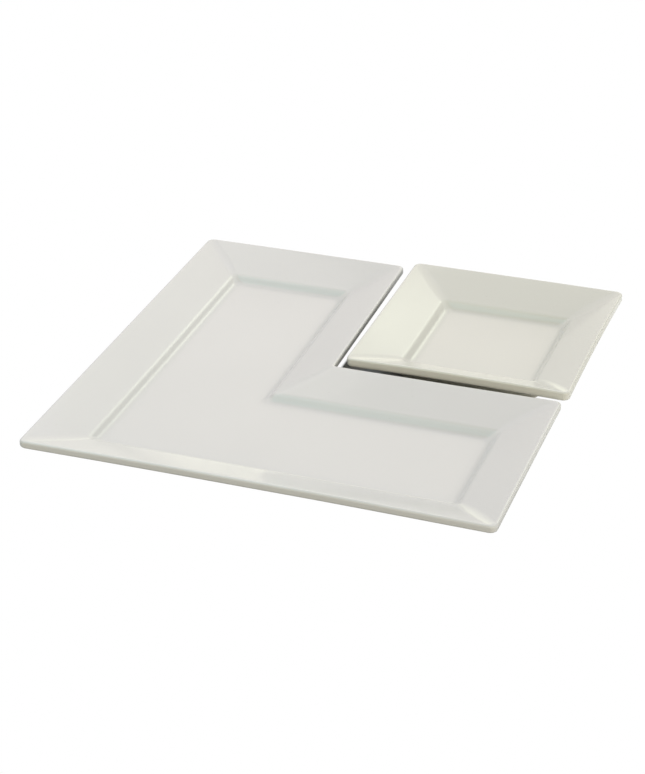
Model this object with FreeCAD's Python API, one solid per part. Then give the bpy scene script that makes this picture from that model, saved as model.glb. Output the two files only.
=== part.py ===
import FreeCAD, Part
import os

# Chip and dip server: an L-shaped platter and a square dish that nests in the platter's notch.
# Each is one solid porcelain casting with a sloped rim, a small step down to a flat well, and a foot
# ring under it. Millimetres. +X runs along the platter's front side, +Y towards the notch's rear side,
# +Z up. The origin is on the table, under the middle of the square that the two pieces make together.

# ---- platter ----
PLATTER_SIDE = 330.0        # each long outer side of the L
ARM_WIDTH = 164.5           # across each arm, outer side to notch side
PLATTER_RIM_RUN = 34.0      # plan width of the sloped rim along the outer sides
NOTCH_RIM_RUN = 33.5        # plan width of the sloped rim along the notch
PLATTER_RIM_DROP = 11.5     # height lost down the sloped rim
PLATTER_STEP_DROP = 4.8     # height of the step at the rim's foot
PLATTER_FLOOR = 4.5         # thickness of the well's floor
PLATTER_FOOT_RISE = 2.5     # how far the foot ring lifts the floor off the table
PLATTER_LIP = 5.8           # height of the rim's outer edge face
PLATTER_LIP_ROUND = 1.6     # rounding of the lip's upper edge

# ---- dish ----
DISH_GAP = 6.0              # clearance between the dish and each side of the notch
DISH_OVERHANG = 2.0         # how far the dish stands out past the ends of the platter's arms
DISH_RISE = 3.5             # how far the dish's rim stands above the platter's
DISH_RIM_RUN = 31.0
DISH_RIM_DROP = 13.0
DISH_STEP_DROP = 5.0
DISH_FLOOR = 5.0
DISH_LIP = 6.8
DISH_LIP_ROUND = 1.2

# ---- details that both pieces share ----
STEP_RUN = 5.0              # plan width of the step's sloping wall
OUTER_CORNER = 4.5          # plan radius of the rim's outer corners
NOTCH_CORNER = 2.0          # plan radius of the rim's one inward corner, deep in the notch
BREAK_CORNER = 5.0          # plan radius where the rim breaks into the step
FLOOR_CORNER = 5.0          # plan radius of the well floor's corners
LIP_UNDER_ROUND = 2.0
BREAK_ROUND = 9.0           # rounding over the edge between the rim and the step
FLOOR_ROUND = 8.5           # hollow rounding where the step meets the floor
FOOT_SETBACK = 2.0          # from the rim's break edge out to the foot ring's outer face
FOOT_WIDTH = 5.5            # width of the foot ring where it meets the body
FOOT_TAPER = 0.8            # how far each face of the foot ring leans in on its way down
FOOT_CORNER = 5.0
FOOT_ROUND = 1.2            # rounding of the foot ring's edges
RECESS_ROUND = 1.5          # hollow rounding inside the foot ring

# ---- sizes that follow from the ones above ----
PLATTER_HEIGHT = PLATTER_RIM_DROP + PLATTER_STEP_DROP + PLATTER_FLOOR + PLATTER_FOOT_RISE
DISH_HEIGHT = PLATTER_HEIGHT + DISH_RISE
DISH_FOOT_RISE = DISH_HEIGHT - DISH_RIM_DROP - DISH_STEP_DROP - DISH_FLOOR
DISH_START = ARM_WIDTH + DISH_GAP
SET_SIDE = PLATTER_SIDE + DISH_OVERHANG
DISH_SIDE = SET_SIDE - DISH_START

LEVEL_TOLERANCE = 1e-4


def inset(corners, distances):
    """Move each side of a right-angled, anticlockwise outline inwards by its own distance."""
    count = len(corners)
    moved = []
    for i in range(count):
        x, y = corners[i]
        for side in (i - 1, i):
            start = corners[side % count]
            end = corners[(side + 1) % count]
            length = abs(end[0] - start[0]) + abs(end[1] - start[1])
            x -= distances[side % count] * (end[1] - start[1]) / length
            y += distances[side % count] * (end[0] - start[0]) / length
        moved.append((x, y))
    return moved


def rounded_wire(corners, radius, notch_radius, z):
    """A level outline with quarter circles for corners. The one that turns inwards has its own radius."""
    count = len(corners)
    points = [FreeCAD.Vector(x, y, z) for x, y in corners]
    arcs = []
    for i in range(count):
        before = (points[i] - points[i - 1]).normalize()
        after = (points[(i + 1) % count] - points[i]).normalize()
        size = radius if before.cross(after).z > 0 else notch_radius
        start = points[i] - before * size
        end = points[i] + after * size
        centre = start + after * size
        middle = centre + (points[i] - centre).normalize() * size
        arcs.append((start, middle, end))
    edges = []
    for i in range(count):
        start, middle, end = arcs[i]
        next_start = arcs[(i + 1) % count][0]
        edges.append(Part.Arc(start, middle, end).toShape())
        edges.append(Part.LineSegment(end, next_start).toShape())
    return Part.Wire(edges)


def edges_at(shape, z):
    """The edges that lie level at height z."""
    return [e for e in shape.Edges if all(abs(v.Z - z) < LEVEL_TOLERANCE for v in e.Vertexes)]


def tray(corners, rim_runs, height, rim_drop, step_drop, foot_rise, lip, lip_round):
    """One casting: rim, step, flat well and foot ring, following the outline in corners."""

    def ring(extra, share, radius, z, notch_radius=None):
        distances = [share * run + extra for run in rim_runs]
        return rounded_wire(inset(corners, distances), radius, notch_radius or radius, z)

    break_z = height - rim_drop
    floor_z = break_z - step_drop
    underside_z = height - lip
    foot_share = 1.0 - FOOT_SETBACK / max(rim_runs)
    foot_z = underside_z - rim_drop * foot_share

    body = Part.makeLoft([
        ring(STEP_RUN, 1, FLOOR_CORNER, floor_z),
        ring(0, 1, BREAK_CORNER, break_z),
        ring(0, 0, OUTER_CORNER, height, NOTCH_CORNER),
        ring(0, 0, OUTER_CORNER, underside_z, NOTCH_CORNER),
        ring(-FOOT_SETBACK, 1, FOOT_CORNER, foot_z),
        ring(FOOT_TAPER - FOOT_SETBACK, 1, FOOT_CORNER, 0),
    ], True, True)
    recess = Part.makeLoft([
        ring(FOOT_WIDTH - FOOT_TAPER - FOOT_SETBACK, 1, FOOT_CORNER, 0),
        ring(FOOT_WIDTH - FOOT_SETBACK, 1, FOOT_CORNER, foot_rise),
    ], True, True)
    body = body.cut(recess)
    for z, radius in (
        (floor_z, FLOOR_ROUND),
        (break_z, BREAK_ROUND),
        (foot_rise, RECESS_ROUND),
        (0, FOOT_ROUND),
        (underside_z, LIP_UNDER_ROUND),
        (height, lip_round),
    ):
        body = body.makeFillet(radius, edges_at(body, z))
    return body


def centred(corners):
    """Shift an outline from the platter's front left corner to the shared origin."""
    return [(x - SET_SIDE / 2, y - SET_SIDE / 2) for x, y in corners]


def l_platter():
    corners = centred([
        (0, 0), (PLATTER_SIDE, 0), (PLATTER_SIDE, ARM_WIDTH),
        (ARM_WIDTH, ARM_WIDTH), (ARM_WIDTH, PLATTER_SIDE), (0, PLATTER_SIDE),
    ])
    outer = PLATTER_RIM_RUN
    notch = NOTCH_RIM_RUN
    runs = [outer, outer, notch, notch, outer, outer]
    return tray(corners, runs, PLATTER_HEIGHT, PLATTER_RIM_DROP, PLATTER_STEP_DROP,
                PLATTER_FOOT_RISE, PLATTER_LIP, PLATTER_LIP_ROUND)


def dip_dish():
    near = DISH_START
    far = DISH_START + DISH_SIDE
    corners = centred([(near, near), (far, near), (far, far), (near, far)])
    return tray(corners, [DISH_RIM_RUN] * 4, DISH_HEIGHT, DISH_RIM_DROP, DISH_STEP_DROP,
                DISH_FOOT_RISE, DISH_LIP, DISH_LIP_ROUND)


os.makedirs("parts", exist_ok=True)
for name, make in (("l_platter", l_platter), ("dip_dish", dip_dish)):
    shape = make()
    print(name, "valid", shape.isValid(), "solids", len(shape.Solids), "volume cm3",
          round(shape.Volume / 1000, 1), "box", shape.BoundBox)
    shape.exportStep(os.path.join("parts", name + ".step"))
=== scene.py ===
"""Looks of the chip and dip server: glazed porcelain for the L-shaped platter and its nesting dish."""

import math

import bpy
from bpy.props import FloatProperty, FloatVectorProperty, IntProperty, PointerProperty
from mathutils import Matrix, Vector


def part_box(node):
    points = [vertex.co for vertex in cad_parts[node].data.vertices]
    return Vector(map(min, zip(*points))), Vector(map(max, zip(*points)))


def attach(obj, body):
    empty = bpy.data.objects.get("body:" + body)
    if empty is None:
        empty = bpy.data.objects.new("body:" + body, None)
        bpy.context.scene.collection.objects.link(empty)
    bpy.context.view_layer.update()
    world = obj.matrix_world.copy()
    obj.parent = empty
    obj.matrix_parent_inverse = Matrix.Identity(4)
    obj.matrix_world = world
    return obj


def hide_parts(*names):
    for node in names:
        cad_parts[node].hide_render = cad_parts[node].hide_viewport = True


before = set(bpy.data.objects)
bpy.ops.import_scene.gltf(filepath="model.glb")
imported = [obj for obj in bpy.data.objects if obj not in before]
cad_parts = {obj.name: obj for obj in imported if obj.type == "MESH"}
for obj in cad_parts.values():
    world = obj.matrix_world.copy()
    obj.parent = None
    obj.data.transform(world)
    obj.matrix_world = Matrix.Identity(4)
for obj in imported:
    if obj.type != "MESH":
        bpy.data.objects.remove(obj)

bl_info = {
    "name": "Chip and Dip Server",
    "version": (1, 0, 0),
    "blender": (4, 5, 0),
    "location": "View3D > Sidebar > Chip and Dip",
    "description": "Builds a glazed L-shaped platter, its nesting dip dish and a studio to show them in",
    "category": "Object",
}

MM = 0.001

platter_low, platter_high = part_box("l_platter")
dish_low, dish_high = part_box("dip_dish")


# ---------------------------------------------------------------- settings


def length(name, description, default):
    """A size in metres that the sidebar shows with its unit."""
    return FloatProperty(name=name, description=description, default=default, min=0.0,
                         precision=5, subtype="DISTANCE", unit="LENGTH")


def colour(name, description, default):
    """A colour as scene linear red, green and blue."""
    return FloatVectorProperty(name=name, description=description, default=default, size=3,
                               min=0.0, max=1.0, subtype="COLOR")


def share(name, description, default):
    """A number from 0 to 1."""
    return FloatProperty(name=name, description=description, default=default, min=0.0, max=1.0,
                         subtype="FACTOR")


PLATTER_RIM = (34 * MM, 11.5 * MM, 1.6 * MM)    # run and drop of the rim, and the lip's rounding
DISH_RIM = (31 * MM, 13 * MM, 1.2 * MM)


def sharp_height(top, rim):
    """The height of the lip's sharp corner, which its rounding takes down to the top."""
    run, drop, rounding = rim
    slope = drop / (run * math.sqrt(2))
    return top + rounding * (slope + math.hypot(1, slope) - 1)


class PlatterSizes(bpy.types.PropertyGroup):
    height: length("Height", "Foot to the rim's sharp corner",
                   sharp_height(platter_high.z, PLATTER_RIM))
    notch_gap: length("Notch gap", "Clearance between the notch and the dish", 6 * MM)
    rim_run: length("Rim run", "Plan width of the sloped rim along the outer sides",
                    PLATTER_RIM[0])
    notch_rim_run: length("Notch rim run", "Plan width of the sloped rim along the notch", 33.5 * MM)
    rim_drop: length("Rim drop", "Height lost down the sloped rim", PLATTER_RIM[1])
    step_drop: length("Step drop", "Height of the step at the rim's foot", 4.8 * MM)
    lip_depth: length("Lip depth", "Height of the rim's edge face", 5.8 * MM)
    lip_round: length("Lip round", "Rounding of the lip's upper edge", PLATTER_RIM[2])
    foot_rise: length("Foot rise", "How far the foot ring lifts the floor", 2.5 * MM)
    notch_splay: length("Notch splay", "How far firing opens the notch at its rear end", 2.3 * MM)
    end_rows: IntProperty(name="End rows", description="Faces across the end of each arm",
                          default=14, min=2)
    side_rows: IntProperty(name="Side rows", description="Faces along each long side",
                           default=64, min=2)


class DishSizes(bpy.types.PropertyGroup):
    height: length("Height", "Foot to the rim's sharp corner", sharp_height(dish_high.z, DISH_RIM))
    rim_run: length("Rim run", "Plan width of the sloped rim", DISH_RIM[0])
    rim_drop: length("Rim drop", "Height lost down the sloped rim", DISH_RIM[1])
    step_drop: length("Step drop", "Height of the step at the rim's foot", 5 * MM)
    lip_depth: length("Lip depth", "Height of the rim's edge face", 6.8 * MM)
    lip_round: length("Lip round", "Rounding of the lip's upper edge", DISH_RIM[2])
    foot_rise: length("Foot rise", "How far the foot ring lifts the floor", 3.8 * MM)
    side_rows: IntProperty(name="Side rows", description="Faces along each side", default=32, min=2)


class CastingSizes(bpy.types.PropertyGroup):
    step_run: length("Step run", "Plan width of the step's sloping wall", 5 * MM)
    outer_corner: length("Outer corner", "Plan radius of the rim's outer corners", 4.5 * MM)
    notch_corner: length("Notch corner", "Plan radius of the rim's one inward corner", 2 * MM)
    break_corner: length("Break corner", "Plan radius where the rim breaks into the step", 4 * MM)
    floor_corner: length("Floor corner", "Plan radius of the well floor's corners", 5 * MM)
    foot_corner: length("Foot corner", "Plan radius of the foot ring's corners", 5 * MM)
    mitre_round: length("Mitre round", "Extra plan radius halfway down the rim", 3 * MM)
    lip_under_round: length("Lip under round", "Rounding of the lip's lower edge", 2 * MM)
    break_round: length("Break round", "Rounding over the break edge", 9 * MM)
    floor_round: length("Floor round", "Hollow rounding at the well's floor", 8.5 * MM)
    foot_setback: length("Foot setback", "From the break edge out to the foot ring", 2 * MM)
    foot_width: length("Foot width", "Width of the foot ring at its root", 5.5 * MM)
    foot_taper: length("Foot taper", "How far each face of the foot ring leans in", 0.8 * MM)
    foot_round: length("Foot round", "Rounding of the foot ring's edges", 1.2 * MM)
    root_round: length("Root round", "Hollow rounding where the foot ring meets the body", 2 * MM)
    row_width: length("Row width", "Widest face across the rim, floor and underside", 4 * MM)
    kiln_bow: length("Kiln bow", "How far firing draws each long side in at its middle", 0.8 * MM)
    kiln_lift: length("Kiln lift", "How far firing lifts each long side at its middle", 0.7 * MM)
    kiln_ripple: length("Kiln ripple", "Height of the slow waves that firing leaves", 0.25 * MM)


class GlazeSettings(bpy.types.PropertyGroup):
    platter: colour("Platter glaze", "Colour of the platter's glaze", (0.66, 0.65, 0.62))
    dish: colour("Dish glaze", "Colour of the dish's warmer glaze", (0.67, 0.66, 0.59))
    bare: colour("Bare porcelain", "Colour of the unglazed foot ring", (0.62, 0.59, 0.53))
    speck: colour("Speck", "Colour of the few iron specks in the glaze", (0.35, 0.30, 0.22))
    gloss_roughness: share("Gloss roughness", "Roughness of the glaze's surface", 0.08)
    peel_depth: length("Peel depth", "Depth of the glaze's faint orange peel", 0.05 * MM)


class StudioSettings(bpy.types.PropertyGroup):
    floor: colour("Floor", "Colour of the floor near the server", (0.45, 0.45, 0.44))
    card: colour("Card", "Colour of the white card to the right and behind", (0.95, 0.95, 0.93))


# ---------------------------------------------------------------- node trees


class Wiring:
    """Adds nodes to a tree and joins them up, so that a rule reads as one expression."""

    def __init__(self, tree):
        self.tree = tree

    def add(self, kind, settings=None, **inputs):
        """A node whose inputs, named with _ for a space, are set to values or joined to sockets."""
        node = self.tree.nodes.new(kind)
        for name, value in (settings or {}).items():
            setattr(node, name, value)
        for name, value in inputs.items():
            self.feed(self.find(node, name.replace("_", " ")), value)
        return node

    @staticmethod
    def find(node, name):
        """The enabled input with that name."""
        for socket in node.inputs:
            if socket.enabled and socket.name == name:
                return socket
        raise KeyError(f"{node.bl_idname} has no input {name}")

    def feed(self, socket, value):
        if isinstance(value, bpy.types.NodeSocket):
            self.tree.links.new(value, socket)
        else:
            socket.default_value = value

    def math(self, operation, *values):
        node = self.tree.nodes.new("ShaderNodeMath")
        node.operation = operation
        for socket, value in zip(node.inputs, values):
            self.feed(socket, value)
        return node.outputs[0]

    def sum(self, first, *rest):
        for value in rest:
            first = self.math("ADD", first, value)
        return first

    def less(self, first, *rest):
        for value in rest:
            first = self.math("SUBTRACT", first, value)
        return first

    def times(self, first, *rest):
        for value in rest:
            first = self.math("MULTIPLY", first, value)
        return first

    def vector(self, operation, *values):
        """A vector operation. For SCALE, the second value is the number to scale by."""
        node = self.tree.nodes.new("ShaderNodeVectorMath")
        node.operation = operation
        sockets = [s for s in node.inputs if s.enabled]
        for socket, value in zip(sockets, values):
            self.feed(socket, value)
        return node.outputs[0]

    def joined(self, x, y, z):
        node = self.tree.nodes.new("ShaderNodeCombineXYZ")
        for socket, value in zip(node.inputs, (x, y, z)):
            self.feed(socket, value)
        return node.outputs[0]


# ---------------------------------------------------------------- the casting's shape

TRAY_LENGTHS = (
    "Height", "Rim Run", "Rim Drop", "Step Run", "Step Drop", "Lip Depth", "Foot Rise",
    "Well Half Width", "Break Corner", "Floor Corner", "Foot Corner",
    "Mitre Round", "Lip Top Round", "Lip Under Round", "Break Round", "Floor Round", "Foot Setback",
    "Foot Width", "Foot Taper", "Foot Round", "Root Round", "Row Width",
    "Kiln Bow", "Kiln Lift", "Kiln Ripple", "Side", "Notch Splay",
)
ARC_FACES = 8               # faces round each corner of the outline
FILLET_FACES = 7            # faces round each rounding of the section
UNIT = 1 * MM               # trial radius that gives the direction of each corner's arc
MERGE_DISTANCE = 0.02 * MM
LONG_EDGE = 3 * MM          # an edge of the outline this long is a side and not part of an arc
HALFWAY_PEAK = 4.0          # scales t * (1 - t) so that it reaches 1 halfway
RIPPLE_WAVES = 14.0         # slow waves to the metre
FLAT_FACE_WEIGHT = 100      # how far the large flat faces decide the shading at their edges

# How far the glaze's marks, the painted highlight and the painted shade reach from their lines
LIP_THIN_AND_HIGHLIGHT_REACH = 6 * MM
BREAK_THIN_AND_HIGHLIGHT_REACH = 3 * MM
HOLLOW_SHADE_REACH = 6 * MM
WIPED_HEIGHT = 0.5 * MM


def tray_tree():
    """A tree that sweeps the tray's section round an outline of corners.

    The outline's corners carry four attributes: rim, the move from the lip to the break edge;
    inward, the move for each metre further in; lip_round, the corner's radius at the lip; and cuts,
    how often the side after it is cut.
    """
    tree = bpy.data.node_groups.new("Fired tray", "GeometryNodeTree")
    tree.interface.new_socket("Geometry", in_out="INPUT", socket_type="NodeSocketGeometry")
    for name in TRAY_LENGTHS:
        socket = tree.interface.new_socket(name, in_out="INPUT", socket_type="NodeSocketFloat")
        socket.subtype = "DISTANCE"
    tree.interface.new_socket("Centre", in_out="INPUT", socket_type="NodeSocketVector")
    tree.interface.new_socket("Seed", in_out="INPUT", socket_type="NodeSocketFloat")
    tree.interface.new_socket("Glaze", in_out="INPUT", socket_type="NodeSocketMaterial")
    tree.interface.new_socket("Bare", in_out="INPUT", socket_type="NodeSocketMaterial")
    tree.interface.new_socket("Geometry", in_out="OUTPUT", socket_type="NodeSocketGeometry")
    wire = Wiring(tree)
    given = wire.add("NodeGroupInput").outputs

    outline = outline_curve(wire, given)
    section = section_curve(wire, given)
    swept = wire.add("GeometryNodeCurveToMesh", Curve=outline, Profile_Curve=section).outputs[0]
    placed = placed_rings(wire, given, swept)
    fired = fired_shape(wire, given, placed)
    marked = glaze_marks_and_painted_light(wire, given, fired)

    smooth = wire.add("GeometryNodeSetShadeSmooth", Geometry=marked).outputs[0]
    whole = wire.add("GeometryNodeRealizeInstances", Geometry=smooth).outputs[0]
    glazed = wire.add("GeometryNodeSetMaterial", Geometry=whole, Material=given["Glaze"]).outputs[0]
    bare = named(wire, "bare", "FLOAT")
    halfway = 0.5
    wiped = wire.add("FunctionNodeCompare", {"operation": "GREATER_THAN"}, A=bare, B=halfway).outputs[0]
    done = wire.add("GeometryNodeSetMaterial", Geometry=glazed, Selection=wiped,
                    Material=given["Bare"]).outputs[0]
    tree.links.new(done, wire.add("NodeGroupOutput").inputs[0])
    return tree


def named(wire, name, kind):
    """An attribute read by its name."""
    return wire.add("GeometryNodeInputNamedAttribute", {"data_type": kind}, Name=name).outputs[0]


def stored(wire, geometry, name, value, kind="FLOAT"):
    """The geometry with one more attribute on its points."""
    node = wire.add("GeometryNodeStoreNamedAttribute", {"data_type": kind, "domain": "POINT"},
                    Geometry=geometry, Name=name, Value=value)
    return node.outputs[0]


def next_distance(wire):
    """How far each point of a curve is from the one after it."""
    here = wire.add("GeometryNodeInputPosition").outputs[0]
    after = wire.add("GeometryNodeOffsetPointInCurve", Offset=1).outputs["Point Index"]
    there = wire.add("GeometryNodeFieldAtIndex", {"data_type": "FLOAT_VECTOR", "domain": "POINT"},
                     Value=here, Index=after).outputs[0]
    node = wire.add("ShaderNodeVectorMath", {"operation": "DISTANCE"})
    wire.feed(node.inputs[0], here)
    wire.feed(node.inputs[1], there)
    return node.outputs["Value"]


def outline_curve(wire, given):
    """The outline with its corners turned to arcs; rounding is the direction of each arc's point."""
    loop = wire.add("GeometryNodeMeshToCurve", Mesh=given["Geometry"]).outputs[0]
    here = wire.add("GeometryNodeInputPosition").outputs[0]
    loop = stored(wire, loop, "corner", here, "FLOAT_VECTOR")
    loop = wire.add("GeometryNodeFilletCurve", {"mode": "POLY"}, Curve=loop, Count=ARC_FACES,
                    Radius=UNIT).outputs[0]
    off = wire.vector("SUBTRACT", here, named(wire, "corner", "FLOAT_VECTOR"))
    loop = stored(wire, loop, "rounding", wire.vector("SCALE", off, 1 / UNIT), "FLOAT_VECTOR")
    side = wire.math("GREATER_THAN", next_distance(wire), LONG_EDGE)
    cuts = wire.times(named(wire, "cuts", "FLOAT"), side)
    return wire.add("GeometryNodeSubdivideCurve", Curve=loop, Cuts=cuts).outputs[0]


def section_curve(wire, given):
    """The section from the middle of the well, over the lip, to the middle of the underside.

    x is the distance in from the lip, and z the height. plan_round is the outline's radius there,
    apart from what lip_round adds.
    """
    run = given["Rim Run"]
    middle = wire.sum(run, given["Well Half Width"])
    break_z = wire.less(given["Height"], given["Rim Drop"])
    floor_z = wire.less(break_z, given["Step Drop"])
    under_z = wire.less(given["Height"], given["Lip Depth"])
    foot_out = wire.less(run, given["Foot Setback"])
    slope = wire.math("DIVIDE", given["Rim Drop"], run)
    foot_z = wire.less(under_z, wire.times(slope, foot_out))
    foot_in = wire.sum(foot_out, given["Foot Width"])
    corners = (
        (middle, floor_z, 0.0, 0.0),
        (wire.sum(run, given["Step Run"]), floor_z, given["Floor Corner"], given["Floor Round"]),
        (run, break_z, given["Break Corner"], given["Break Round"]),
        (0.0, given["Height"], 0.0, given["Lip Top Round"]),
        (0.0, under_z, 0.0, given["Lip Under Round"]),
        (foot_out, foot_z, given["Foot Corner"], given["Root Round"]),
        (wire.sum(foot_out, given["Foot Taper"]), 0.0, given["Foot Corner"], given["Foot Round"]),
        (wire.less(foot_in, given["Foot Taper"]), 0.0, given["Foot Corner"], given["Foot Round"]),
        (foot_in, given["Foot Rise"], given["Foot Corner"], given["Root Round"]),
        (middle, given["Foot Rise"], 0.0, 0.0),
    )
    index = wire.add("GeometryNodeInputIndex").outputs[0]
    line = wire.add("GeometryNodeMeshLine", {"mode": "OFFSET"}, Count=len(corners)).outputs[0]
    line = wire.add("GeometryNodeMeshToCurve", Mesh=line).outputs[0]
    places = [wire.joined(inset, 0.0, level) for inset, level, _, _ in corners]
    line = wire.add("GeometryNodeSetPosition", Geometry=line,
                    Position=picked(wire, "VECTOR", index, places)).outputs[0]
    rounds = picked(wire, "FLOAT", index, [plan for _, _, plan, _ in corners])
    line = stored(wire, line, "plan_round", rounds)
    fillets = picked(wire, "FLOAT", index, [fillet for _, _, _, fillet in corners])
    line = wire.add("GeometryNodeFilletCurve", {"mode": "POLY"}, Curve=line, Count=FILLET_FACES,
                    Radius=fillets).outputs[0]
    cuts = wire.math("FLOOR", wire.math("DIVIDE", next_distance(wire), given["Row Width"]))
    line = wire.add("GeometryNodeSubdivideCurve", Curve=line, Cuts=cuts).outputs[0]
    here = wire.add("ShaderNodeSeparateXYZ", Vector=wire.add("GeometryNodeInputPosition").outputs[0])
    line = stored(wire, line, "inset", here.outputs["X"])
    return stored(wire, line, "level", here.outputs["Z"])


def picked(wire, kind, index, values):
    """One of the values, by index."""
    node = wire.tree.nodes.new("GeometryNodeIndexSwitch")
    node.data_type = kind
    while len(node.index_switch_items) < len(values):
        node.index_switch_items.new()
    wire.feed(node.inputs["Index"], index)
    for i, value in enumerate(values):
        wire.feed(node.inputs[i + 1], value)
    return node.outputs[0]


def placed_rings(wire, given, swept):
    """Each point of the sweep moved to its place: corner, rim, inward and rounding added up."""
    inset = named(wire, "inset", "FLOAT")
    run = given["Rim Run"]
    on_rim = wire.math("MINIMUM", wire.math("DIVIDE", inset, run), 1.0)
    beyond = wire.math("MAXIMUM", wire.less(inset, run), 0.0)
    place = wire.vector(
        "ADD", named(wire, "corner", "FLOAT_VECTOR"),
        wire.vector("SCALE", named(wire, "rim", "FLOAT_VECTOR"), on_rim))
    place = wire.vector("ADD", place,
                        wire.vector("SCALE", named(wire, "inward", "FLOAT_VECTOR"), beyond))
    off_rim = wire.less(1.0, on_rim)
    lip_round = wire.times(named(wire, "lip_round", "FLOAT"), off_rim)
    sag = wire.times(on_rim, off_rim, HALFWAY_PEAK, given["Mitre Round"])
    radius = wire.sum(named(wire, "plan_round", "FLOAT"), lip_round, sag)
    turn = wire.vector("SCALE", named(wire, "rounding", "FLOAT_VECTOR"), radius)
    place = wire.vector("ADD", place, turn)
    level = wire.joined(0.0, 0.0, named(wire, "level", "FLOAT"))
    moved = wire.add("GeometryNodeSetPosition", Geometry=swept,
                     Position=wire.vector("ADD", place, level)).outputs[0]
    return wire.add("GeometryNodeMergeByDistance", Geometry=moved,
                    Distance=MERGE_DISTANCE).outputs[0]


def fired_shape(wire, given, geometry):
    """What the kiln does: sides drawn in and lifted at their middle, slow waves, a splayed notch."""
    here = wire.add("GeometryNodeInputPosition").outputs[0]
    off = wire.vector("SUBTRACT", here, given["Centre"])
    x, y, _ = wire.add("ShaderNodeSeparateXYZ", Vector=off).outputs
    half = wire.math("DIVIDE", given["Side"], 2.0)
    along_x = wire.math("DIVIDE", x, half)
    along_y = wire.math("DIVIDE", y, half)
    level = named(wire, "level", "FLOAT")
    high = wire.math("DIVIDE", level, given["Height"])
    bulge_x = wire.less(1.0, wire.times(along_x, along_x))
    bulge_y = wire.less(1.0, wire.times(along_y, along_y))
    pull = wire.times(given["Kiln Bow"], -1.0)
    move_x = wire.times(pull, along_x, bulge_y)
    move_y = wire.times(pull, along_y, bulge_x)
    rear_half = wire.math("MAXIMUM", along_y, 0.0)
    from_left = wire.math("MINIMUM", wire.sum(along_x, 1.0), 1.0)
    move_x = wire.less(move_x, wire.times(given["Notch Splay"], rear_half, from_left))
    edge_x = wire.times(along_y, along_y, bulge_x)
    edge_y = wire.times(along_x, along_x, bulge_y)
    lift = wire.times(given["Kiln Lift"], wire.sum(edge_x, edge_y))
    noise = wire.add("ShaderNodeTexNoise", {"noise_dimensions": "4D"}, Vector=here,
                     W=given["Seed"], Scale=RIPPLE_WAVES, Detail=1.0).outputs[0]
    ripple = wire.times(given["Kiln Ripple"], wire.less(wire.times(noise, 2.0), 1.0))
    rise = wire.times(wire.sum(lift, ripple), high)
    return wire.add("GeometryNodeSetPosition", Geometry=geometry,
                    Offset=wire.joined(move_x, move_y, rise)).outputs[0]


def glaze_marks_and_painted_light(wire, given, geometry):
    """Where the glaze is thinner and lighter over an edge, partly a painted highlight; darker in the
    step's hollow, painted shade; and bare where it is wiped off the foot.
    """
    inset = named(wire, "inset", "FLOAT")
    level = named(wire, "level", "FLOAT")
    break_z = wire.less(given["Height"], given["Rim Drop"])
    floor_z = wire.less(break_z, given["Step Drop"])
    spot = wire.joined(inset, level, 0.0)

    def near(place, reach):
        """1 at the place in the section, falling to 0 at that reach."""
        gap = wire.add("ShaderNodeVectorMath", {"operation": "DISTANCE"})
        wire.feed(gap.inputs[0], spot)
        wire.feed(gap.inputs[1], place)
        return wire.math("MAXIMUM", wire.less(1.0, wire.math("DIVIDE", gap.outputs["Value"], reach)), 0.0)

    lip_middle = wire.joined(0.0, wire.less(given["Height"], wire.times(given["Lip Depth"], 0.5)), 0.0)
    # Thinner glaze over the lip and the break edge, which the colour also lightens as a painted highlight
    thin_glaze_and_highlight = wire.math("MAXIMUM", near(lip_middle, LIP_THIN_AND_HIGHLIGHT_REACH),
                     near(wire.joined(given["Rim Run"], break_z, 0.0), BREAK_THIN_AND_HIGHLIGHT_REACH))
    # The hollow at the step's foot, which the colour darkens as painted shade
    hollow = wire.joined(wire.sum(given["Rim Run"], given["Step Run"]), floor_z, 0.0)
    geometry = stored(wire, geometry, "thin_glaze_and_highlight", thin_glaze_and_highlight)
    geometry = stored(wire, geometry, "hollow_painted_shade", near(hollow, HOLLOW_SHADE_REACH))
    wiped = wire.math("LESS_THAN", level, WIPED_HEIGHT)
    return stored(wire, geometry, "bare", wiped)


def outline_mesh(name, corners, runs, lip_rounds, cuts):
    """The corners as a closed loop, each with its rim, inward, lip_round and cuts."""
    mesh = bpy.data.meshes.new(name)
    count = len(corners)
    sides = [(i, (i + 1) % count) for i in range(count)]
    mesh.from_pydata([(x, y, 0.0) for x, y in corners], sides, [])
    inwards = []
    for start, end in sides:
        along = (Vector(corners[end]) - Vector(corners[start])).normalized()
        inwards.append(Vector((-along.y, along.x, 0.0)))
    rims = [inwards[i - 1] * runs[i - 1] + inwards[i] * runs[i] for i in range(count)]
    steps = [inwards[i - 1] + inwards[i] for i in range(count)]
    for label, vectors in (("rim", rims), ("inward", steps)):
        attribute = mesh.attributes.new(label, "FLOAT_VECTOR", "POINT")
        attribute.data.foreach_set("vector", [value for v in vectors for value in v])
    for label, values in (("lip_round", lip_rounds), ("cuts", cuts)):
        attribute = mesh.attributes.new(label, "FLOAT", "POINT")
        attribute.data.foreach_set("value", [float(n) for n in values])
    return mesh


def fired_tray(name, outline, inputs):
    """The finished mesh of one casting, made by the tree and then kept plain."""
    raw = bpy.data.objects.new(name + "_outline", outline)
    bpy.context.scene.collection.objects.link(raw)
    modifier = raw.modifiers.new("Fired tray", "NODES")
    tree = bpy.data.node_groups.get("Fired tray") or tray_tree()
    modifier.node_group = tree
    identifiers = {item.name: item.identifier for item in tree.interface.items_tree
                   if item.in_out == "INPUT"}
    for label, value in inputs.items():
        modifier[identifiers[label]] = value
    raw.update_tag()
    weighted = raw.modifiers.new("Flat faces first", "WEIGHTED_NORMAL")
    weighted.weight = FLAT_FACE_WEIGHT
    view = bpy.context.evaluated_depsgraph_get()
    mesh = bpy.data.meshes.new_from_object(raw.evaluated_get(view), preserve_all_data_layers=True,
                                           depsgraph=view)
    mesh.name = name
    bpy.data.objects.remove(raw)
    piece = bpy.data.objects.new(name, mesh)
    bpy.context.scene.collection.objects.link(piece)
    return piece


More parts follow.
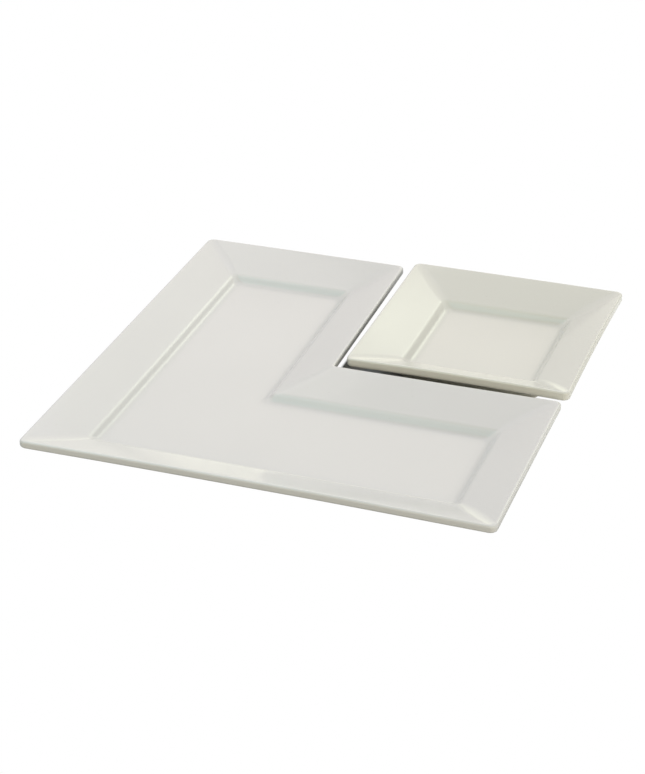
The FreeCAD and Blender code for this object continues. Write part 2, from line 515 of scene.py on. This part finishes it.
def casting_inputs(sizes, casting):
    """The tree's inputs that both castings take from their settings."""
    return {
        "Height": sizes.height,
        "Rim Run": sizes.rim_run,
        "Rim Drop": sizes.rim_drop,
        "Step Drop": sizes.step_drop,
        "Lip Depth": sizes.lip_depth,
        "Foot Rise": sizes.foot_rise,
        "Step Run": casting.step_run,
        "Break Corner": casting.break_corner,
        "Floor Corner": casting.floor_corner,
        "Foot Corner": casting.foot_corner,
        "Mitre Round": casting.mitre_round,
        "Lip Top Round": sizes.lip_round,
        "Lip Under Round": casting.lip_under_round,
        "Break Round": casting.break_round,
        "Floor Round": casting.floor_round,
        "Foot Setback": casting.foot_setback,
        "Foot Width": casting.foot_width,
        "Foot Taper": casting.foot_taper,
        "Foot Round": casting.foot_round,
        "Root Round": casting.root_round,
        "Row Width": casting.row_width,
        "Kiln Bow": casting.kiln_bow,
        "Kiln Lift": casting.kiln_lift,
        "Kiln Ripple": casting.kiln_ripple,
    }


# ---------------------------------------------------------------- finishes

# Noise, in waves to the metre
CLOUD_WAVES = 11.0
HAZE_WAVES = 45.0
STAIN_WAVES = 60.0
PEEL_WAVES = 95.0
FINE_PEEL_WAVES = 260.0
SPECK_WAVES = 700.0
GRIT_WAVES = 2200.0
NOISE_SPAN = (0.3, 0.7)     # where most of the noise lies
SPECK_SPAN = (0.83, 0.87)   # the few peaks that become specks

# Brightness against the plain tint, and how much of each shade is mixed in
CLOUD_SHADES = (0.985, 1.012)
# Painted shade in the step's hollow
HOLLOW_PAINTED_SHADE, HOLLOW_PAINTED_SHADE_SHARE = 0.93, 0.5
# Lighter on the edges: partly thinner glaze, partly a painted highlight
THIN_AND_HIGHLIGHT_SHADE, THIN_AND_HIGHLIGHT_SHARE = 1.05, 0.4
STAIN_SHADES = (0.9, 1.06)
SPECK_SHARE = 0.12

BODY_ROUGHNESS = 0.3
HAZE_ROUGHNESS = 0.08       # added where the glaze is hazy
THIN_ROUGHNESS = 0.06       # added where it is thin
GLAZE_IOR = 1.5
FINE_PEEL_SHARE = 0.2
BARE_ROUGHNESS = 0.85
GRIT_DEPTH = 0.05 * MM


def principled(name):
    """A new material, its wiring and its shader."""
    material = bpy.data.materials.new(name)
    material.use_nodes = True
    return material, Wiring(material.node_tree), material.node_tree.nodes["Principled BSDF"]


def shaded(tint, factor):
    """The tint made lighter or darker, with an opaque alpha."""
    return (*(min(channel * factor, 1.0) for channel in tint), 1.0)


def blended(wire, factor, first, second):
    """A mix of two colours."""
    node = wire.add("ShaderNodeMix", {"data_type": "RGBA"}, Factor=factor, A=first, B=second)
    return node.outputs[2]


def noise(wire, place, scale, detail):
    """Soft noise from 0 to 1 at so many waves to the metre."""
    return wire.add("ShaderNodeTexNoise", Vector=place, Scale=scale, Detail=detail).outputs[0]


def stretched(wire, value, low, high):
    """The value moved so that low becomes 0 and high becomes 1."""
    node = wire.add("ShaderNodeMapRange", Value=value, From_Min=low, From_Max=high)
    return node.outputs["Result"]


def bump(wire, shader, height, depth):
    """Surface relief of that depth in metres, in the glaze and in its gloss."""
    relief = wire.add("ShaderNodeBump", Strength=1.0, Distance=depth, Height=height).outputs[0]
    wire.feed(shader.inputs["Normal"], relief)
    wire.feed(shader.inputs["Coat Normal"], relief)


def glaze(name, tint, settings):
    """Clear gloss glaze over white porcelain: thinner and lighter on the edges, partly a painted
    highlight, and darker in the step's hollow as painted shade.
    """
    material, wire, shader = principled(name)
    place = wire.add("ShaderNodeTexCoord").outputs["Object"]
    thin_glaze_and_highlight = wire.add("ShaderNodeAttribute", {"attribute_name": "thin_glaze_and_highlight"}).outputs["Fac"]
    hollow_painted_shade = wire.add("ShaderNodeAttribute", {"attribute_name": "hollow_painted_shade"}).outputs["Fac"]
    cloud = stretched(wire, noise(wire, place, CLOUD_WAVES, 3.0), *NOISE_SPAN)
    colour = blended(wire, cloud, *(shaded(tint, factor) for factor in CLOUD_SHADES))
    # Painted shade: darker in the hollow at the step's foot
    colour = blended(wire, wire.times(hollow_painted_shade, HOLLOW_PAINTED_SHADE_SHARE), colour, shaded(tint, HOLLOW_PAINTED_SHADE))
    # Painted highlight, partly thinner glaze: lighter over the lip and the break edge
    colour = blended(wire, wire.times(thin_glaze_and_highlight, THIN_AND_HIGHLIGHT_SHARE), colour, shaded(tint, THIN_AND_HIGHLIGHT_SHADE))
    speck = stretched(wire, noise(wire, place, SPECK_WAVES, 0.0), *SPECK_SPAN)
    colour = blended(wire, wire.times(speck, SPECK_SHARE), colour, (*settings.speck, 1.0))
    wire.feed(shader.inputs["Base Color"], colour)
    haze = stretched(wire, noise(wire, place, HAZE_WAVES, 2.0), *NOISE_SPAN)
    roughness = wire.sum(BODY_ROUGHNESS, wire.times(haze, HAZE_ROUGHNESS),
                         wire.times(thin_glaze_and_highlight, THIN_ROUGHNESS))
    wire.feed(shader.inputs["Roughness"], roughness)
    shader.inputs["IOR"].default_value = GLAZE_IOR
    shader.inputs["Coat Weight"].default_value = 1.0
    shader.inputs["Coat Roughness"].default_value = settings.gloss_roughness
    fine_peel = wire.times(noise(wire, place, FINE_PEEL_WAVES, 0.0), FINE_PEEL_SHARE)
    peel = wire.sum(noise(wire, place, PEEL_WAVES, 1.0), fine_peel)
    bump(wire, shader, peel, settings.peel_depth)
    return material


def bare_porcelain(name, settings):
    """Unglazed biscuit of the foot ring: matt, gritty and faintly stained."""
    material, wire, shader = principled(name)
    place = wire.add("ShaderNodeTexCoord").outputs["Object"]
    stain = stretched(wire, noise(wire, place, STAIN_WAVES, 4.0), *NOISE_SPAN)
    colour = blended(wire, stain, *(shaded(settings.bare, factor) for factor in STAIN_SHADES))
    wire.feed(shader.inputs["Base Color"], colour)
    shader.inputs["Roughness"].default_value = BARE_ROUGHNESS
    bump(wire, shader, noise(wire, place, GRIT_WAVES, 2.0), GRIT_DEPTH)
    return material


# ---------------------------------------------------------------- operators

PLATTER_SEED = 3.0
DISH_SEED = 11.0


class BuildPlatter(bpy.types.Operator):
    """Build the L-shaped platter."""

    bl_idname = "chip_dip.build_platter"
    bl_label = "Build Platter"

    def execute(self, context):
        sizes = context.scene.platter_sizes
        left, front = platter_low.x, platter_low.y
        right, rear = platter_high.x, platter_high.y
        notch = dish_low.x - sizes.notch_gap
        corners = [(left, front), (right, front), (right, notch),
                   (notch, notch), (notch, rear), (left, rear)]
        outer, inner = sizes.rim_run, sizes.notch_rim_run
        runs = [outer, outer, inner, inner, outer, outer]
        long_cuts, end_cuts = sizes.side_rows - 1, sizes.end_rows - 1
        cuts = [long_cuts, end_cuts, long_cuts, long_cuts, end_cuts, long_cuts]
        casting = context.scene.casting_sizes
        lip_rounds = [casting.outer_corner] * len(corners)
        lip_rounds[corners.index((notch, notch))] = casting.notch_corner
        outline = outline_mesh("platter_outline", corners, runs, lip_rounds, cuts)
        inputs = casting_inputs(sizes, casting)
        colours = context.scene.glaze_settings
        inputs["Well Half Width"] = (notch - left - outer - inner) / 2
        inputs["Side"] = right - left
        inputs["Notch Splay"] = sizes.notch_splay
        inputs["Centre"] = ((left + right) / 2, (front + rear) / 2, 0.0)
        inputs["Seed"] = PLATTER_SEED
        inputs["Glaze"] = glaze("Platter glaze", colours.platter, colours)
        inputs["Bare"] = bare_porcelain("Platter foot", colours)
        piece = fired_tray("platter_porcelain", outline, inputs)
        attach(piece, "platter")
        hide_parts("l_platter")
        return {"FINISHED"}


class BuildDish(bpy.types.Operator):
    """Build the square dip dish."""

    bl_idname = "chip_dip.build_dish"
    bl_label = "Build Dish"

    def execute(self, context):
        sizes = context.scene.dish_sizes
        near, far = dish_low.x, dish_high.x
        corners = [(near, near), (far, near), (far, far), (near, far)]
        casting = context.scene.casting_sizes
        runs, lip_rounds = [sizes.rim_run] * 4, [casting.outer_corner] * 4
        outline = outline_mesh("dish_outline", corners, runs, lip_rounds, [sizes.side_rows - 1] * 4)
        inputs = casting_inputs(sizes, casting)
        colours = context.scene.glaze_settings
        inputs["Well Half Width"] = (far - near) / 2 - sizes.rim_run
        inputs["Side"] = far - near
        inputs["Centre"] = ((near + far) / 2, (near + far) / 2, 0.0)
        inputs["Seed"] = DISH_SEED
        inputs["Glaze"] = glaze("Dish glaze", colours.dish, colours)
        inputs["Bare"] = bare_porcelain("Dish foot", colours)
        piece = fired_tray("dish_porcelain", outline, inputs)
        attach(piece, "dish")
        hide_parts("dip_dish")
        return {"FINISHED"}


class BuildStudio(bpy.types.Operator):
    """Build the floor, the lights and the camera."""

    bl_idname = "chip_dip.build_studio"
    bl_label = "Build Studio"

    def execute(self, context):
        scene = context.scene
        scene.view_settings.view_transform = "Standard"
        studio_floor(scene)
        studio_lights(scene)
        studio_camera(scene)
        return {"FINISHED"}


# ---------------------------------------------------------------- studio

FLOOR_REACH = 40.0
PAPER_ROUGHNESS = 0.9
CARD_SLANT = 0.30           # the card's edge leans to the left by this much for each metre back
CARD_EDGE = (0.10, 0.18)    # where the card starts to whiten the floor, and where it is full

# Soft edges of the patch of floor that keeps its shadow: axis, where it starts, where it's full
SHADED_PATCH = (
    ("X", -11 * MM, -9 * MM),
    ("X", 135 * MM, 110 * MM),
    ("Y", 10 * MM, 34 * MM),
    ("Y", 160 * MM, 120 * MM),
)

# The sky's own light, and its soft glows: compass bearing from the rear towards the right, height,
# sharpness and colour
SKY_BASE = (0.473, 0.477, 0.470)
GLOWS = (
    (0, 52, 8, (0.70, 0.62, 0.64)),
    (60, 52, 8, (0.39, 0.48, 0.465)),
    (0, 18, 10, (0.34, 0.30, 0.25)),
    (135, 18, 10, (1.51, 1.42, 1.10)),
    (180, 18, 10, (0.56, 0.35, 0.13)),
    (315, 18, 10, (0.36, 0.28, 0.31)),
    (345, 4, 40, (0.83, 0.86, 0.62)),
    (339, 30, 60, (0.27, 0.23, 0.21)),
    (18, 31, 120, (2.2, 2.4, 1.9)),
    (60, 25, 60, (1.7, 1.5, 2.0)),
)

# Softboxes over the left side: bearing, height, distance, width, power in watts and colour
PANELS = (
    ("left box", 290, 48, 1.3, 0.9, 1.92, (1.0, 0.93, 0.88)),
    ("front left box", 235, 55, 1.3, 0.9, 2.71, (0.44, 0.85, 1.0)),
    ("rear left box", 322, 62, 1.2, 0.8, 0.44, (0.59, 0.43, 1.0)),
)


def studio_floor(scene):
    """A paper floor that the camera sees as plain white, but for the shaded patch under the dish."""
    mesh = bpy.data.meshes.new("floor")
    corners = [(x, y, 0.0) for x, y in ((-1, -1), (1, -1), (1, 1), (-1, 1))]
    mesh.from_pydata([Vector(c) * FLOOR_REACH for c in corners], [], [(0, 1, 2, 3)])
    floor = bpy.data.objects.new("floor", mesh)
    scene.collection.objects.link(floor)
    studio = scene.studio_settings
    material, wire, paper = principled("Floor")
    place = wire.add("ShaderNodeTexCoord").outputs["Object"]
    spot = wire.add("ShaderNodeSeparateXYZ", Vector=place).outputs
    across = wire.sum(spot["X"], wire.times(spot["Y"], CARD_SLANT))
    on_card = stretched(wire, across, *CARD_EDGE)
    wire.feed(paper.inputs["Base Color"],
              blended(wire, on_card, (*studio.floor, 1.0), (*studio.card, 1.0)))
    paper.inputs["Roughness"].default_value = PAPER_ROUGHNESS
    paper.inputs["Specular IOR Level"].default_value = 0.0
    lit = wire.add("ShaderNodeEmission", Color=(1.0, 1.0, 1.0, 1.0), Strength=1.0).outputs[0]
    patch = 1.0
    for axis, low, high in SHADED_PATCH:
        patch = wire.times(stretched(wire, spot[axis], low, high), patch)
    seen = wire.add("ShaderNodeLightPath").outputs["Is Camera Ray"]
    mix = wire.tree.nodes.new("ShaderNodeMixShader")
    white = wire.times(seen, wire.less(1.0, patch))
    for socket, value in zip(mix.inputs, (white, paper.outputs[0], lit)):
        wire.feed(socket, value)
    wire.tree.links.new(mix.outputs[0], wire.tree.nodes["Material Output"].inputs["Surface"])
    mesh.materials.append(material)


def toward(bearing, height):
    """The direction at a bearing from the rear towards the right, and a height, in degrees."""
    turn, tilt = math.radians(bearing), math.radians(height)
    return Vector((math.sin(turn) * math.cos(tilt), math.cos(turn) * math.cos(tilt), math.sin(tilt)))


def studio_lights(scene):
    """A sky with soft glows that the camera sees as plain white, and softboxes."""
    sky = bpy.data.worlds.new("Studio sky")
    scene.world = sky
    sky.use_nodes = True
    wire = Wiring(sky.node_tree)
    looking = wire.add("ShaderNodeTexCoord").outputs["Generated"]
    total = wire.joined(*SKY_BASE)
    for bearing, height, sharpness, tint in GLOWS:
        dot = wire.add("ShaderNodeVectorMath", {"operation": "DOT_PRODUCT"})
        wire.feed(dot.inputs[0], looking)
        wire.feed(dot.inputs[1], toward(bearing, height))
        facing = wire.math("MAXIMUM", dot.outputs["Value"], 0.0)
        glow = wire.vector("SCALE", tint, wire.math("POWER", facing, sharpness))
        total = wire.vector("ADD", total, glow)
    seen = wire.add("ShaderNodeLightPath").outputs["Is Camera Ray"]
    shown = wire.vector("MAXIMUM", total, wire.joined(seen, seen, seen))
    wire.feed(sky.node_tree.nodes["Background"].inputs["Color"], shown)
    for name, bearing, height, distance, across, watts, tint in PANELS:
        light = bpy.data.lights.new(name, "AREA")
        light.shape = "SQUARE"
        light.size = across
        light.energy = watts
        light.color = tint
        lamp = bpy.data.objects.new(name, light)
        place = toward(bearing, height) * distance
        lamp.location = place
        lamp.rotation_euler = place.to_track_quat("Z", "Y").to_euler()
        lamp.visible_camera = False
        scene.collection.objects.link(lamp)


CAMERA_AZIMUTH = 20.707
CAMERA_ELEVATION = 29.313
CAMERA_ROLL = 1.13
CAMERA_DISTANCE = 1.4799
CAMERA_AIM = (0.00169, -0.03436, 0.0233)
CAMERA_LENS = 99.85


def studio_camera(scene):
    """The camera at the angle that the server is shown from."""
    turn, tilt, roll = (math.radians(a) for a in (CAMERA_AZIMUTH, CAMERA_ELEVATION, CAMERA_ROLL))
    back = Vector((math.sin(turn) * math.cos(tilt), -math.cos(turn) * math.cos(tilt), math.sin(tilt)))
    camera = bpy.data.objects.new("camera", bpy.data.cameras.new("camera"))
    camera.data.lens = CAMERA_LENS
    scene.collection.objects.link(camera)
    level = back.to_track_quat("Z", "Y")
    place = Vector(CAMERA_AIM) + back * CAMERA_DISTANCE
    camera.matrix_world = (Matrix.Translation(place) @ level.to_matrix().to_4x4()
                           @ Matrix.Rotation(-roll, 4, "Z"))
    scene.camera = camera


# ---------------------------------------------------------------- sidebar and start


class ServerPanel(bpy.types.Panel):
    """Steps that build the server."""

    bl_idname = "VIEW3D_PT_chip_dip"
    bl_label = "Chip and Dip Server"
    bl_space_type = "VIEW_3D"
    bl_region_type = "UI"
    bl_category = "Chip and Dip"

    def draw(self, context):
        for step in STEPS:
            self.layout.operator(step.bl_idname)


STEPS = (BuildPlatter, BuildDish, BuildStudio)
GROUPS = {
    "platter_sizes": PlatterSizes,
    "dish_sizes": DishSizes,
    "casting_sizes": CastingSizes,
    "glaze_settings": GlazeSettings,
    "studio_settings": StudioSettings,
}


def register():
    for kind in (*GROUPS.values(), *STEPS, ServerPanel):
        bpy.utils.register_class(kind)
    for name, kind in GROUPS.items():
        setattr(bpy.types.Scene, name, PointerProperty(type=kind))


def unregister():
    for name in GROUPS:
        delattr(bpy.types.Scene, name)
    for kind in reversed((*GROUPS.values(), *STEPS, ServerPanel)):
        bpy.utils.unregister_class(kind)


def main():
    """Build everything."""
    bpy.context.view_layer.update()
    register()
    bpy.ops.chip_dip.build_platter()
    bpy.ops.chip_dip.build_dish()
    bpy.ops.chip_dip.build_studio()


if __name__ == "__main__":
    main()
